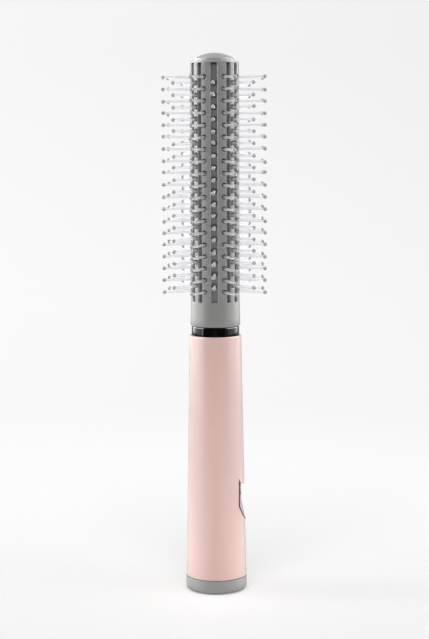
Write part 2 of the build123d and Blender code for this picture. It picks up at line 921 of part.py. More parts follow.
def barrel():
    inner = neck_radius + fit_gap
    floor_top = collar_bottom + barrel_floor
    ledge_bottom = ledge_top - barrel_ledge
    shell = revolved(
        [
            (inner, collar_bottom),
            (barrel_radius_bottom, collar_bottom),
            (barrel_radius_top, slots_bottom),
            (barrel_radius_top, barrel_top),
            (barrel_end_hole, barrel_top),
            (barrel_end_hole, barrel_top - barrel_end_wall),
            (barrel_bore, barrel_top - barrel_end_wall),
            (barrel_bore, ledge_top),
            (inner, ledge_top),
            (inner, ledge_bottom),
            (barrel_bore, ledge_bottom),
            (barrel_bore, floor_top),
            (inner, floor_top),
        ]
    )
    shell = fillet(rim(shell, barrel_radius_top, barrel_top), barrel_edge_round)
    shell = fillet(rim(shell, barrel_radius_bottom, collar_bottom), barrel_edge_round)
    cutters = [ring_turn(0) * slot_cutter(wide_slot)]
    for angle in slot_angles():
        cutters.append(ring_turn(angle) * slot_cutter(narrow_slot))
    for angle, heights in bristle_rows():
        radius = slot_scallop_radius if angle == 0 else pin_hole_radius
        for height in heights:
            hole = bar_x(radius, barrel_bore - 1, barrel_radius_bottom + 1, 0, height)
            cutters.append(ring_turn(angle) * hole)
    return shell - cutters


def top_cap():
    dome_radius = (cap_radius**2 + cap_dome**2) / (2 * cap_dome)
    cap = bar(cap_radius, barrel_top, cap_top)
    cap &= Pos(0, 0, cap_top - dome_radius) * Sphere(dome_radius)
    cap = fillet(rim(cap, cap_radius, barrel_top + cap_rim), cap_edge_round)
    spigot_bottom = barrel_top - barrel_end_wall
    return cap + bar(barrel_end_hole - fit_gap, spigot_bottom, barrel_top)


def heat_tube():
    """The heated tube, punched with a round hole for every bristle."""
    shell = tube(tube_radius, tube_bore, plug_seat, tube_top)
    cutters = []
    for angle, heights in bristle_rows():
        for height in heights:
            hole = bar_x(tube_hole_radius, tube_bore - 1, tube_radius + 1, 0, height)
            cutters.append(ring_turn(angle) * hole)
    return shell - cutters


def bristle_strips():
    """The strips inside the heat tube that the bristles stand on."""
    strips = []
    for angle, _ in bristle_rows():
        half = strip_width / 2
        strip = block(
            strip_face - strip_thickness,
            strip_face,
            -half,
            half,
            spigot_top + fit_gap,
            end_plug_step - fit_gap,
        )
        strips.append(ring_turn(angle) * strip)
    return Compound(children=strips)


def along_rows(shape):
    """Copies of a shape, made facing +X at height 0, at every bristle."""
    copies = []
    for angle, heights in bristle_rows():
        for height in heights:
            copies.append(ring_turn(angle) * Pos(0, 0, height) * shape)
    return Compound(children=copies)


def tip_flat():
    """Distance from a tip's centre back to the flat where its bristle ends."""
    return math.sqrt(tip_radius**2 - pin_radius**2)


def bristle_pins():
    return along_rows(bar_x(pin_radius, strip_face, tip_reach - tip_flat(), 0, 0))


def bristle_tips():
    ball = Sphere(tip_radius)
    ball -= block(-2 * tip_radius, -tip_flat(), -2, 2, -2, 2)
    return along_rows(Pos(tip_reach, 0, 0) * ball)


# ------------------------------------------------------------------ heater
def steam_gasket():
    ring = tube(barrel_bore - fit_gap, gasket_bore, ledge_top, ledge_top + gasket_thickness)
    return ring


def base_plug():
    """The insulating plug that closes the heat tube's lower end."""
    bottom = ledge_top + gasket_thickness
    plug = bar(barrel_bore - fit_gap, bottom, plug_seat)
    plug += bar(tube_bore - fit_gap, plug_seat, spigot_top)
    plug -= bar(hose_radius + fit_gap, bottom, spigot_top, head_hose_x, 0)
    for side in (-1, 1):
        plug -= bar(rod_radius + fit_gap, bottom, spigot_top, 0, side * rod_offset)
        slot_in = side * (electrode_y - wire_radius - fit_gap)
        slot_out = side * (electrode_y + wire_radius + fit_gap)
        half = tab_width / 2 + fit_gap
        plug -= block(tab_x - half, tab_x + half, slot_in, slot_out, bottom, spigot_top)
    return plug


def end_plug():
    """The insulating plug at the tip, which carries the heads of the tie rods."""
    plug = bar(core_radius, core_top, end_plug_step)
    plug += bar(tube_bore - fit_gap, end_plug_step, tube_top)
    for side in (-1, 1):
        y = side * rod_offset
        plug -= bar(rod_radius + fit_gap, core_top, tube_top, 0, y)
        plug -= bar(rod_head_radius + fit_gap, rod_seat, tube_top, 0, y)
    return plug


rod_seat = tube_top - rod_head - fit_gap


def tie_rods():
    rods = []
    for side in (-1, 1):
        y = side * rod_offset
        rod = bar(rod_radius, ledge_top - neck_web, rod_seat, 0, y)
        rod += bar(rod_head_radius, rod_seat, rod_seat + rod_head, 0, y)
        rods.append(rod)
    return Compound(children=rods)


def fin_angles():
    """Half way between each row and the next one round the barrel."""
    angles = sorted(angle for angle, _ in bristle_rows())
    following = angles[1:] + [angles[0] + 360]
    return [(here + after) / 2 for here, after in zip(angles, following)]


def heater_core():
    core = bar(core_radius, core_bottom, core_top)
    half = fin_thickness / 2
    for angle in fin_angles():
        fin = block(core_radius / 2, tube_bore - fit_gap, -half, half, core_bottom, core_top)
        core += ring_turn(angle) * fin
    slot_x = stone_width / 2 + film_margin + fit_gap
    slot_y = stack_thickness / 2 + fit_gap / 2
    core -= block(-slot_x, slot_x, -slot_y, slot_y, core_bottom, core_top)
    for side in (-1, 1):
        core -= bar(rod_radius + fit_gap, core_bottom, core_top, 0, side * rod_offset)
    sensor_top = core_bottom + sensor_length + fit_gap
    hole = bar(sensor_radius + fit_gap / 2, core_bottom, sensor_top, sensor_x, sensor_y)
    return core - hole


stones_bottom = (core_bottom + core_top - stone_count * stone_length) / 2
stones_top = stones_bottom + stone_count * stone_length


def ptc_stones():
    half_x = stone_width / 2
    half_y = stone_thickness / 2
    stones = []
    for i in range(stone_count):
        bottom = stones_bottom + i * stone_length
        top = bottom + stone_length - fit_gap
        stones.append(block(-half_x, half_x, -half_y, half_y, bottom, top))
    return Compound(children=stones)


def heater_electrodes():
    plates = []
    half_x = stone_width / 2
    for side in (-1, 1):
        near = side * stone_thickness / 2
        far = near + side * electrode_thickness
        plate = block(-half_x, half_x, near, far, stones_bottom, stones_top)
        tab_left = tab_x - tab_width / 2
        tab_right = tab_x + tab_width / 2
        plate += block(tab_left, tab_right, near, far, wire_top, stones_bottom)
        plates.append(plate)
    return Compound(children=plates)


def heater_film():
    sheets = []
    half_x = stone_width / 2 + film_margin
    for side in (-1, 1):
        near = side * (stone_thickness / 2 + electrode_thickness)
        far = near + side * film_thickness
        sheets.append(
            block(-half_x, half_x, near, far, stones_bottom - film_margin, stones_top + film_margin)
        )
    return Compound(children=sheets)


def temperature_sensor():
    return bar(sensor_radius, core_bottom, core_bottom + sensor_length, sensor_x, sensor_y)


def vaporiser():
    half = vaporiser_length / 2
    width = vaporiser_width / 2
    body = block(
        head_hose_x - half, head_hose_x + half, -width, width, spigot_top, core_bottom
    )
    well = spigot_top + vaporiser_floor
    body -= bar(vaporiser_well, well, core_bottom, head_hose_x, 0)
    nipple_bottom = spigot_top - hose_depth - nipple_length
    body += bar(nipple_radius, nipple_bottom, spigot_top, head_hose_x, 0)
    return body - bar(nipple_bore, nipple_bottom, well, head_hose_x, 0)


fuse_top = ledge_top - neck_web - fuse_drop
fuse_bottom = fuse_top - fuse_length
wire_corner = cell_top + tab_thickness + wire_radius


def thermal_fuse():
    return bar(fuse_radius, fuse_bottom, fuse_top, tab_x, -electrode_y)


def heater_wires():
    wires = []
    start_height = board_top - wire_start_drop
    for side in (-1, 1):
        lean = side * wire_start_y * math.tan(math.radians(control_turn))
        start_x = board_face - board_thickness + lean - fit_gap
        end_height = fuse_bottom if side < 0 else wire_top
        points = [
            (start_x, side * wire_start_y, start_height),
            (wire_x, side * wire_start_y, start_height),
            (wire_x, side * wire_y, start_height + wire_rise),
            (wire_x, side * wire_y, wire_corner),
            (tab_x, side * electrode_y, wire_corner + wire_jog),
            (tab_x, side * electrode_y, end_height),
        ]
        wires.append(swept_tube(points, wire_bends, wire_radius, 0))
    wires.append(bar(wire_radius, fuse_top, wire_top, tab_x, -electrode_y))
    return Compound(children=wires)


# ------------------------------------------------------------------ every piece
pieces = {
    "foot_pad": foot_pad(),
    "base_cap": base_cap(),
    "cap_seal": cap_seal(),
    "tank_stopper": tank_stopper(),
    "handle_sleeve": handle_sleeve(),
    "button_panel": button_panel(),
    "power_button": button(power_button_height),
    "power_plunger": plunger(power_button_height),
    "power_switch": switch_housing(power_button_height),
    "steam_button": button(steam_button_height),
    "steam_plunger": plunger(steam_button_height),
    "steam_switch": switch_housing(steam_button_height),
    "light_pipe": light_pipe(),
    "status_led": status_led(),
    "control_board": control_board(),
    "board_chips": board_chips(),
    "board_screws": board_screws(),
    "usb_socket": usb_socket(),
    "chassis": chassis(),
    "neck_screws": neck_screws(),
    "battery_cell": battery_cell(),
    "battery_tabs": battery_tabs(),
    "water_tank": water_tank(),
    "tank_lid": tank_lid(),
    "tank_retainer": tank_retainer(),
    "dip_tube": dip_tube(),
    "suction_hose": suction_hose(),
    "pump_head": pump_head(),
    "pump_motor": pump_motor(),
    "delivery_hose": delivery_hose(),
    "neck": neck(),
    "trim_ring": trim_ring(),
    "barrel": barrel(),
    "top_cap": top_cap(),
    "heat_tube": heat_tube(),
    "bristle_strips": bristle_strips(),
    "bristle_pins": bristle_pins(),
    "bristle_tips": bristle_tips(),
    "steam_gasket": steam_gasket(),
    "base_plug": base_plug(),
    "end_plug": end_plug(),
    "tie_rods": tie_rods(),
    "heater_core": heater_core(),
    "ptc_stones": ptc_stones(),
    "heater_electrodes": heater_electrodes(),
    "heater_film": heater_film(),
    "temperature_sensor": temperature_sensor(),
    "vaporiser": vaporiser(),
    "thermal_fuse": thermal_fuse(),
    "heater_wires": heater_wires(),
}

os.makedirs("parts", exist_ok=True)
for node, shape in pieces.items():
    export_step(shape, f"parts/{node}.step")
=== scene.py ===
"""A cordless steam hair straightener brush, standing on the flat end of its handle.

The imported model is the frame: its nodes keep their shapes and take their finishes here, and the
barrel and the bristles are replaced by finer meshes of the same shapes. Lengths are in metres.
"""

import math

import bpy
import numpy as np
from mathutils import Matrix, Vector


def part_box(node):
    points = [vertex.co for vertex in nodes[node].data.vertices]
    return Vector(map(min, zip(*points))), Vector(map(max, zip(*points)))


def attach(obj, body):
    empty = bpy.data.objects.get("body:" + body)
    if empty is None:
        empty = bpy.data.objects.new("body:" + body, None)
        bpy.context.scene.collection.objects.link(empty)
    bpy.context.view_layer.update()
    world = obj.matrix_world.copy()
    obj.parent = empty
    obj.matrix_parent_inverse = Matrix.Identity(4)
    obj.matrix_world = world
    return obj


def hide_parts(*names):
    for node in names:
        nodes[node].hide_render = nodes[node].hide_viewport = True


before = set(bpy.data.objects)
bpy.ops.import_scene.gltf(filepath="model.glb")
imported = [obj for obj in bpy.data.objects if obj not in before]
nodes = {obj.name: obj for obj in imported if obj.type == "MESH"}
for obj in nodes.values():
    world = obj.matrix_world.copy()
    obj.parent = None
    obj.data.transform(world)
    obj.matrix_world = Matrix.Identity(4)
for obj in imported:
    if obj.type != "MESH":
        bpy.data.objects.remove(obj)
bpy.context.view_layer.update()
mm = 0.001

# ------------------------------------------------------------------ camera
# A long lens, level with the upper part of the barrel, looks slightly down on the brush, from a
# little to its right.
def in_scene(name, data):
    """A new object at the origin that holds the data, linked to the scene."""
    item = bpy.data.objects.new(name, data)
    bpy.context.scene.collection.objects.link(item)
    return item


lens_distance = 0.906  # from the brush's axis, level with the floor
lens_height = 0.2523
lens_turn = math.radians(1.65)  # round the brush, from the front towards +X
lens_yaw = math.radians(0.03)
lens_pitch = math.radians(6.7)
lens_roll = math.radians(-0.25)
lens = bpy.data.cameras.new("lens")
lens.sensor_fit = "VERTICAL"
lens.sensor_height = 36
lens.lens = 96.9
lens.clip_start = 0.01
camera = in_scene("camera", lens)
stand = Vector((math.sin(lens_turn), -math.cos(lens_turn), 0)) * lens_distance
camera.matrix_world = (
    Matrix.Translation(stand + Vector((0, 0, lens_height)))
    @ Matrix.Rotation(lens_turn + lens_yaw, 4, "Z")
    @ Matrix.Rotation(math.pi / 2 - lens_pitch, 4, "X")
    @ Matrix.Rotation(lens_roll, 4, "Z")
)
bpy.context.scene.camera = camera
bpy.context.scene.view_settings.view_transform = "Standard"


# ------------------------------------------------------------------ lamps
# A soft box high in front and two weak ones at the sides light the matt surfaces. Wide panels
# beside, behind and above the brush are there for gloss alone, like the white walls of a light
# tent: those on the left are the brighter. A narrow strip on each side gives the glossy ring its
# thin lines of light.
def soft_box(name, bearing, rise, distance, width, height, radiance, for_gloss):
    """A rectangular lamp that faces the brush. bearing is in degrees from the front towards +X,
    rise in degrees above the middle of the brush, and radiance is what its face gives out.
    for_gloss says whether glossy or matt surfaces see it."""
    face = bpy.data.lights.new(name, "AREA")
    face.shape = "RECTANGLE"
    face.size = width
    face.size_y = height
    face.energy = radiance * math.pi * width * height
    lamp = in_scene(name, face)
    bearing, rise = math.radians(bearing), math.radians(rise)
    level = distance * math.cos(rise)
    offset = (level * math.sin(bearing), -level * math.cos(bearing), distance * math.sin(rise))
    lamp.location = brush_middle + Vector(offset)
    lamp.rotation_euler = (brush_middle - lamp.location).to_track_quat("-Z", "Y").to_euler()
    lamp.visible_diffuse = not for_gloss
    lamp.visible_glossy = for_gloss
    lamp.visible_transmission = False


brush_middle = Vector((0, 0, 0.15))
soft_box("front_box", -4, 46, 2.2, 1.60, 1.50, 3.25, False)
soft_box("left_box", -92, 26, 1.2, 0.30, 0.30, 7.0, False)
soft_box("right_box", 72, 30, 1.2, 0.70, 0.70, 1.3, False)
soft_box("left_panel", -82, 14, 1.2, 1.10, 0.90, 9.6, True)
soft_box("left_back", -122, 14, 1.2, 0.60, 0.90, 13.0, True)
soft_box("right_panel", 86, 14, 1.2, 1.10, 0.90, 6.6, True)
soft_box("right_back", 122, 14, 1.2, 0.60, 0.90, 11.0, True)
soft_box("left_strip", -63, -3, 1.2, 0.05, 0.25, 36.0, True)
soft_box("right_strip", 53, -3, 1.2, 0.04, 0.25, 9.0, True)
soft_box("left_top", -98, 45, 1.2, 0.90, 0.60, 20.0, True)
soft_box("right_top", 98, 45, 1.2, 0.90, 0.60, 18.0, True)


# ------------------------------------------------------------------ room
# White walls all round, except on the lens's side, which is dark. The lens, gloss and clear
# plastic see the walls at full brightness; what they give to matt surfaces is weaker.
def add_node(tree, kind, inputs=None, **settings):
    """Adds a node with its settings to a tree. inputs maps a socket's name or number to a value
    or to the output of the node that feeds it."""
    node = tree.nodes.new(kind)
    for name, value in settings.items():
        setattr(node, name, value)
    for socket, value in (inputs or {}).items():
        if isinstance(value, bpy.types.NodeSocket):
            tree.links.new(value, node.inputs[socket])
        else:
            node.inputs[socket].default_value = value
    return node


def worked_out(tree, operation, *terms):
    """The output of a maths node on its terms, each of them a number or a node's output."""
    node = add_node(tree, "ShaderNodeMath", dict(enumerate(terms)), operation=operation)
    return node.outputs["Value"]


def ramp(tree, value, start, end, low=0.0, high=1.0, course="SMOOTHSTEP"):
    """The output of a map-range node: low up to start, high from end on, and between them it
    follows the course."""
    inputs = {"Value": value, "From Min": start, "From Max": end, "To Min": low, "To Max": high}
    node = add_node(tree, "ShaderNodeMapRange", inputs, interpolation_type=course)
    return node.outputs["Result"]


walls_behind_lens, walls_elsewhere = 0.05, 0.92
walls_for_matt, walls_for_lens = 0.35, 0.90
room = bpy.data.worlds.new("room")
bpy.context.scene.world = room
room.use_nodes = True
tree = room.node_tree
tree.nodes.clear()
direction = add_node(tree, "ShaderNodeTexCoord").outputs["Generated"]
parts = add_node(tree, "ShaderNodeSeparateXYZ", {"Vector": direction}).outputs
rays = add_node(tree, "ShaderNodeLightPath").outputs
# From straight towards the lens (-1) to straight away from it (1), dark turns to white.
backward = ramp(tree, parts["Y"], -0.75, 0.1, walls_behind_lens, walls_elsewhere)
see_through = worked_out(tree, "MAXIMUM", rays["Is Glossy Ray"], rays["Is Transmission Ray"])
for_gloss = add_node(
    tree, "ShaderNodeMix", {"Factor": see_through, "A": walls_for_matt, "B": backward}
)
by_ray = {"Factor": rays["Is Camera Ray"], "A": for_gloss.outputs["Result"], "B": walls_for_lens}
for_lens = add_node(tree, "ShaderNodeMix", by_ray).outputs["Result"]
walls = add_node(tree, "ShaderNodeBackground", {"Color": (1, 1, 1, 1), "Strength": for_lens})
add_node(tree, "ShaderNodeOutputWorld", {"Surface": walls.outputs["Background"]})


# ------------------------------------------------------------------ floor
# A sheet of white paper, level under the brush and curving up behind it into a backdrop. Near
# the brush the lamps light it and the brush's shadow falls on it. Farther off it glows evenly.
def smooth_mesh(name, points, faces, crease=None):
    """A mesh of an array of points and a list of faces, smooth but for the edges that turn by
    more than crease degrees."""
    mesh = bpy.data.meshes.new(name)
    mesh.from_pydata(points.reshape(-1, 3).tolist(), [], faces)
    mesh.shade_smooth()
    if crease is not None:
        mesh.set_sharp_from_angle(angle=math.radians(crease))
    return mesh


def paper_sweep(half_width, front, bend, radius, top, steps):
    """Points (across, along): straight from front to bend, then a quarter turn of the given
    radius, then straight up to the top. Returns the points and the faces' corners."""
    turn = np.linspace(0, math.pi / 2, steps)
    y = np.concatenate([[front, 0.5 * (front + bend)], bend + radius * np.sin(turn)])
    z = np.concatenate([[0, 0], radius * (1 - np.cos(turn))])
    y = np.append(y, bend + radius)
    z = np.append(z, top)
    x = np.linspace(-half_width, half_width, 5)
    spread_out = [
        np.tile(x, (y.size, 1)),
        np.repeat(y[:, None], x.size, axis=1),
        np.repeat(z[:, None], x.size, axis=1),
    ]
    first = (np.arange(y.size - 1)[:, None] * x.size + np.arange(x.size - 1)).ravel()
    corners = np.stack([first, first + 1, first + x.size + 1, first + x.size], axis=1)
    return np.stack(spread_out, axis=-1), corners.tolist()


points, corners = paper_sweep(half_width=3.0, front=-3.0, bend=1.3, radius=0.7, top=2.6, steps=16)
sheet = smooth_mesh("paper_sheet", points, corners)
floor = in_scene("floor", sheet)

matt_share = 0.75  # of white, under the brush
glow_low, glow_high, glow_rise = 0.935, 0.895, 0.35  # at the floor, and from this height up
glow_slope = -0.07  # per metre towards +X
near_loss, near_slope_x, near_slope_y = -0.555, 0.06, 0.45  # of the glow, where lamps light it
gloss_front, gloss_rest = 0.12, 1.0  # what gloss sees of the paper before and round the brush
panel_gain = 13.0  # of the paper beside the brush, as gloss sees it under the panels
paper = bpy.data.materials.new("white_paper")
paper.use_nodes = True
tree = paper.node_tree
tree.nodes.clear()
place = add_node(tree, "ShaderNodeTexCoord").outputs["Object"]
parts = add_node(tree, "ShaderNodeSeparateXYZ", {"Vector": place}).outputs
rays = add_node(tree, "ShaderNodeLightPath").outputs
# What the lamps light: the paper within 0.10 m of the brush's foot, fading out at 0.60 m.
far = add_node(tree, "ShaderNodeVectorMath", {0: place}, operation="LENGTH").outputs["Value"]
near = ramp(tree, far, 0.10, 0.60, 1.0, 0.0)
share = worked_out(tree, "MULTIPLY", near, matt_share)
white = add_node(tree, "ShaderNodeCombineColor", dict.fromkeys(("Red", "Green", "Blue"), share))
matt = add_node(tree, "ShaderNodeBsdfDiffuse", {"Color": white.outputs["Color"]})
# Its own light: it fades a little upwards and sideways, and makes room for the lamps nearby.
upright = ramp(tree, parts["Z"], 0.0, glow_rise, glow_low, glow_high, "LINEAR")
sideways = worked_out(tree, "MULTIPLY_ADD", parts["X"], glow_slope, upright)
tilt_back = worked_out(tree, "MULTIPLY_ADD", parts["Y"], near_slope_y, near_loss)
tilt = worked_out(tree, "MULTIPLY_ADD", parts["X"], near_slope_x, tilt_back)
own = worked_out(tree, "MULTIPLY_ADD", near, tilt, sideways)
# Who sees that light: the lens and clear plastic in full, matt surfaces not at all, and gloss
# less of it in front of the brush and more of it beside the brush, under the bright panels.
front_dark = ramp(tree, parts["Y"], -0.8, -0.1, gloss_front, gloss_rest)
across = worked_out(tree, "ABSOLUTE", parts["X"])
behind = worked_out(tree, "MAXIMUM", parts["Y"], 0.0)
aside = worked_out(tree, "MULTIPLY_ADD", behind, -0.8, across)
by_panels = ramp(tree, aside, 0.012, 0.06)
farther = ramp(tree, across, 0.05, 0.38, panel_gain, 0.0)
lit = worked_out(tree, "MULTIPLY_ADD", by_panels, farther, 1.0)
sheen = worked_out(tree, "MULTIPLY", rays["Is Glossy Ray"], lit)
see_through = worked_out(tree, "MAXIMUM", sheen, rays["Is Transmission Ray"])
for_gloss = worked_out(tree, "MULTIPLY", see_through, front_dark)
seen = worked_out(tree, "MAXIMUM", for_gloss, rays["Is Camera Ray"])
strength = worked_out(tree, "MULTIPLY", own, seen)
glow = add_node(tree, "ShaderNodeEmission", {"Color": (1, 1, 1, 1), "Strength": strength})
both = add_node(tree, "ShaderNodeAddShader", {0: matt.outputs["BSDF"], 1: glow.outputs["Emission"]})
add_node(tree, "ShaderNodeOutputMaterial", {"Surface": both.outputs["Shader"]})
sheet.materials.append(paper)


# ------------------------------------------------------------------ handle shell
# One tapered shell of blush ABS, injection moulded. Its skin is satin, with the fine grain of
# the mould's blasted steel, and the colour is a little uneven as in any moulding. Inside the
# notch the skin is darkened and greyed with painted shade.
def new_material(name):
    """A material with its Principled shader. Returns the material, its tree, that shader and the
    output with the object's coordinates."""
    material = bpy.data.materials.new(name)
    material.use_nodes = True
    tree = material.node_tree
    place = add_node(tree, "ShaderNodeTexCoord").outputs["Object"]
    return material, tree, tree.nodes["Principled BSDF"], place


def noise(tree, place, scale, detail):
    """The output of a noise texture."""
    inputs = {"Vector": place, "Scale": scale, "Detail": detail}
    return add_node(tree, "ShaderNodeTexNoise", inputs).outputs["Fac"]


def blend(tree, share, first, second):
    """The output of a colour mix: the first colour at a share of 0, the second at 1."""
    inputs = {"Factor": share, "A": first, "B": second}
    return add_node(tree, "ShaderNodeMix", inputs, data_type="RGBA").outputs["Result"]


def mottle(tree, skin, pattern, colour, shades, roughness):
    """Lets a pattern vary a skin's colour between two shades of it, and its roughness between
    two values."""
    dark, light = [(*(shade * share for share in colour), 1) for shade in shades]
    tree.links.new(blend(tree, pattern, dark, light), skin.inputs["Base Color"])
    gloss = ramp(tree, pattern, 0.0, 1.0, *roughness, "LINEAR")
    tree.links.new(gloss, skin.inputs["Roughness"])


def moulded_plastic(name, colour, roughness, grain, depth, specular=0.5):
    """Moulded plastic. Its colour and gloss drift over about 10 mm, and its skin is pitted:
    grain is the distance from pit to pit and depth how deep they are."""
    material, tree, skin, place = new_material(name)
    skin.inputs["IOR"].default_value = 1.5
    skin.inputs["Specular IOR Level"].default_value = specular
    drift = noise(tree, place, 90, 3)
    mottle(tree, skin, drift, colour, (0.97, 1.03), (roughness - 0.03, roughness + 0.03))
    pits = {"Strength": 0.5, "Distance": depth, "Height": noise(tree, place, 1 / grain, 2)}
    bump = add_node(tree, "ShaderNodeBump", pits)
    tree.links.new(bump.outputs["Normal"], skin.inputs["Normal"])
    return material


def finish(node, material):
    """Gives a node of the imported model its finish, on the slots that it already has."""
    for slot in nodes[node].material_slots:
        slot.material = material


sleeve_foot, sleeve_length = 8.15, 129.65  # in millimetres, as the two radii
sleeve_foot_radius, sleeve_top_radius = 16.25, 13.77
sleeve_slope = (sleeve_foot_radius - sleeve_top_radius) / sleeve_length
cone_radius = sleeve_foot_radius * mm + sleeve_foot * mm * sleeve_slope  # at the floor's height
notch_end = 70 * mm  # nothing above it is darker, as it belongs to no notch
notch_shade_colour = (0.42, 0.34, 0.31, 1)
blush = moulded_plastic("blush_plastic", (0.807, 0.552, 0.497), 0.42, 0.35 * mm, 0.006 * mm)
tree = blush.node_tree
place = tree.nodes["Texture Coordinate"].outputs["Object"]
parts = add_node(tree, "ShaderNodeSeparateXYZ", {"Vector": place}).outputs
level = add_node(tree, "ShaderNodeCombineXYZ", {"X": parts["X"], "Y": parts["Y"]})
radius = add_node(
    tree, "ShaderNodeVectorMath", {0: level.outputs["Vector"]}, operation="LENGTH"
)
# Painted shade: the skin turns darker and greyer where it lies inside the cone, in the notch.
surface = worked_out(tree, "MULTIPLY_ADD", parts["Z"], -sleeve_slope, cone_radius)
inward = worked_out(tree, "SUBTRACT", surface, radius.outputs["Value"])
in_notch = ramp(tree, inward, 0.1 * mm, 0.6 * mm)
low_down = worked_out(tree, "LESS_THAN", parts["Z"], notch_end)
notch_shade = worked_out(tree, "MULTIPLY", in_notch, low_down)
shaded_skin = blend(tree, notch_shade, tree.nodes["Mix"].outputs["Result"], notch_shade_colour)
tree.links.new(shaded_skin, tree.nodes["Principled BSDF"].inputs["Base Color"])
finish("handle_sleeve", blush)

# ------------------------------------------------------------------ base cap
# The cap that closes the tank, of grey ABS, with the rubber disc that it stands on pressed into
# its underside.
base_grey = moulded_plastic("base_grey", (0.315, 0.315, 0.308), 0.42, 0.35 * mm, 0.006 * mm)
finish("base_cap", base_grey)
pad_rubber = moulded_plastic("foot_rubber", (0.03, 0.03, 0.03), 0.75, 0.5 * mm, 0.02 * mm)
finish("foot_pad", pad_rubber)

# ------------------------------------------------------------------ controls
# A dark matt insert lies on the floor of the notch, with the two push buttons moulded in a paler
# plastic. The window beside them takes its finish with the tank.
panel_brown = (0.07, 0.056, 0.05)
panel_plastic = moulded_plastic("panel_plastic", panel_brown, 0.7, 0.3 * mm, 0.006 * mm, 0.15)
finish("button_panel", panel_plastic)
button_plastic = moulded_plastic("button_plastic", (0.5, 0.45, 0.43), 0.4, 0.3 * mm, 0.004 * mm)
finish("power_button", button_plastic)
finish("steam_button", button_plastic)


# ------------------------------------------------------------------ notch shade
# A thin dark bead of painted shade lies along the notch's rim, for the shade in the gap there. It
# runs down both sides of the floor and along the ramp's edge to where the ramp meets the handle's
# surface.
def round_cord(name, path, radii, sides):
    """A round cord along a path, closed at both ends: point k of step i is
    p_i + r_i (cos t_k e_i + sin t_k f_i), with e_i square to the path and to the X axis, and f_i
    square to the path and to e_i."""
    along = np.gradient(path, axis=0)
    along /= np.linalg.norm(along, axis=1, keepdims=True)
    aside = np.cross(along, (1.0, 0.0, 0.0))
    aside /= np.linalg.norm(aside, axis=1, keepdims=True)
    outward = np.cross(aside, along)
    turn = np.linspace(0, 2 * math.pi, sides, endpoint=False)[None, :, None]
    circle = np.cos(turn) * aside[:, None] + np.sin(turn) * outward[:, None]
    points = path[:, None] + radii[:, None, None] * circle
    number = np.arange(points[..., 0].size).reshape(points.shape[:2])
    here, onward = number[:-1], number[1:]
    quads = [here, onward, np.roll(onward, -1, axis=1), np.roll(here, -1, axis=1)]
    faces = np.stack(quads, axis=-1).reshape(-1, 4).tolist()
    faces += [number[0].tolist(), number[-1][::-1].tolist()]
    return smooth_mesh(name, points, faces, 40)


notch_floor = 12.80 * mm  # from the handle's axis
notch_foot, floor_foot, floor_head = 38.6 * mm, 46.9 * mm, 61.4 * mm
notch_turn = math.radians(2.4)
bead_radius = 0.42 * mm
thin_foot = 0.6  # how much of its thickness the bead loses down the ramp
thin_head, thin_length = 0.35, 1.5 * mm  # what it keeps at its upper ends, and over what length
ramp_inset = 0.25 * mm
front_rise, back_rise = 0.18 * mm, -0.28 * mm  # of the bead's middle above the floor
down = np.concatenate(
    [
        np.linspace(floor_head, floor_foot, 24, endpoint=False),
        floor_foot - (floor_foot - notch_foot) * np.sin(np.linspace(0, math.pi / 2, 25)),
    ]
)
around = cone_radius - sleeve_slope * down
up_ramp = np.clip((floor_foot - down) / (floor_foot - notch_foot), 0, 1)
out = notch_floor + up_ramp * (cone_radius - sleeve_slope * notch_foot - notch_floor)
half = np.sqrt(np.maximum(around**2 - out**2, 0))
half = np.maximum(half - ramp_inset * (1 - up_ramp), 0)
front = np.stack([out + front_rise, -half, down], axis=-1)
back = np.stack([out + back_rise, half, down], axis=-1)[-2::-1]
c, s = math.cos(notch_turn), math.sin(notch_turn)
bead_path = np.concatenate([front, back]) @ np.array([[c, -s, 0], [s, c, 0], [0, 0, 1]])
taper = np.clip((floor_head - down) / thin_length, thin_head, 1)
bead_radii = bead_radius * taper * (1 - thin_foot * up_ramp)
bead_radii = np.concatenate([bead_radii, bead_radii[-2::-1]])
bead_mesh = round_cord("notch_shade_bead", bead_path, bead_radii, 12)
bead = in_scene("notch_shade_bead", bead_mesh)
# Painted shade: the bead's dark brown stands for the shade in the gap along the rim.
shade_bead_brown = (0.075, 0.058, 0.052)
painted_shade_bead = moulded_plastic("painted_shade_bead", shade_bead_brown, 0.6, 0.3 * mm, 0.006 * mm, 0.2)
bead_mesh.materials.append(painted_shade_bead)
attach(bead, "handle")


# ------------------------------------------------------------------ trim ring
# A glossy black ring covers the joint between handle and barrel. It comes from a polished mould,
# so it has no grain. Its sides are given only a small share of reflection, so that only its well
# rounded upper edge shows a bright painted highlight.
def rounded_edge(radius, height, rounding, upward, steps):
    """Points (radius, height) of a rounded outer edge, from the side to the end face. upward is
    1 at an upper end and -1 at a lower one."""
    turns = np.linspace(0, math.pi / 2, steps)
    radii = [radius - rounding * (1 - math.cos(turn)) for turn in turns]
    heights = [height - upward * rounding * (1 - math.sin(turn)) for turn in turns]
    return list(zip(radii, heights))


def turned_ring(name, outline, steps):
    """A ring whose cross-section is the closed outline of (radius, height) points, given
    anticlockwise: point k of step i is (r_k sin t_i, -r_k cos t_i, z_k)."""
    outline = np.array(outline)
    turn = np.linspace(0, 2 * math.pi, steps, endpoint=False)[:, None]
    x, y = outline[:, 0] * np.sin(turn), -outline[:, 0] * np.cos(turn)
    points = np.stack([x, y, np.broadcast_to(outline[:, 1], x.shape)], axis=-1)
    number = np.arange(points[..., 0].size).reshape(x.shape)
    onward, upward = np.roll(number, -1, axis=0), np.roll(number, -1, axis=1)
    quads = np.stack([number, onward, np.roll(onward, -1, axis=1), upward], axis=-1)
    return smooth_mesh(name, points, quads.reshape(-1, 4).tolist(), 30)


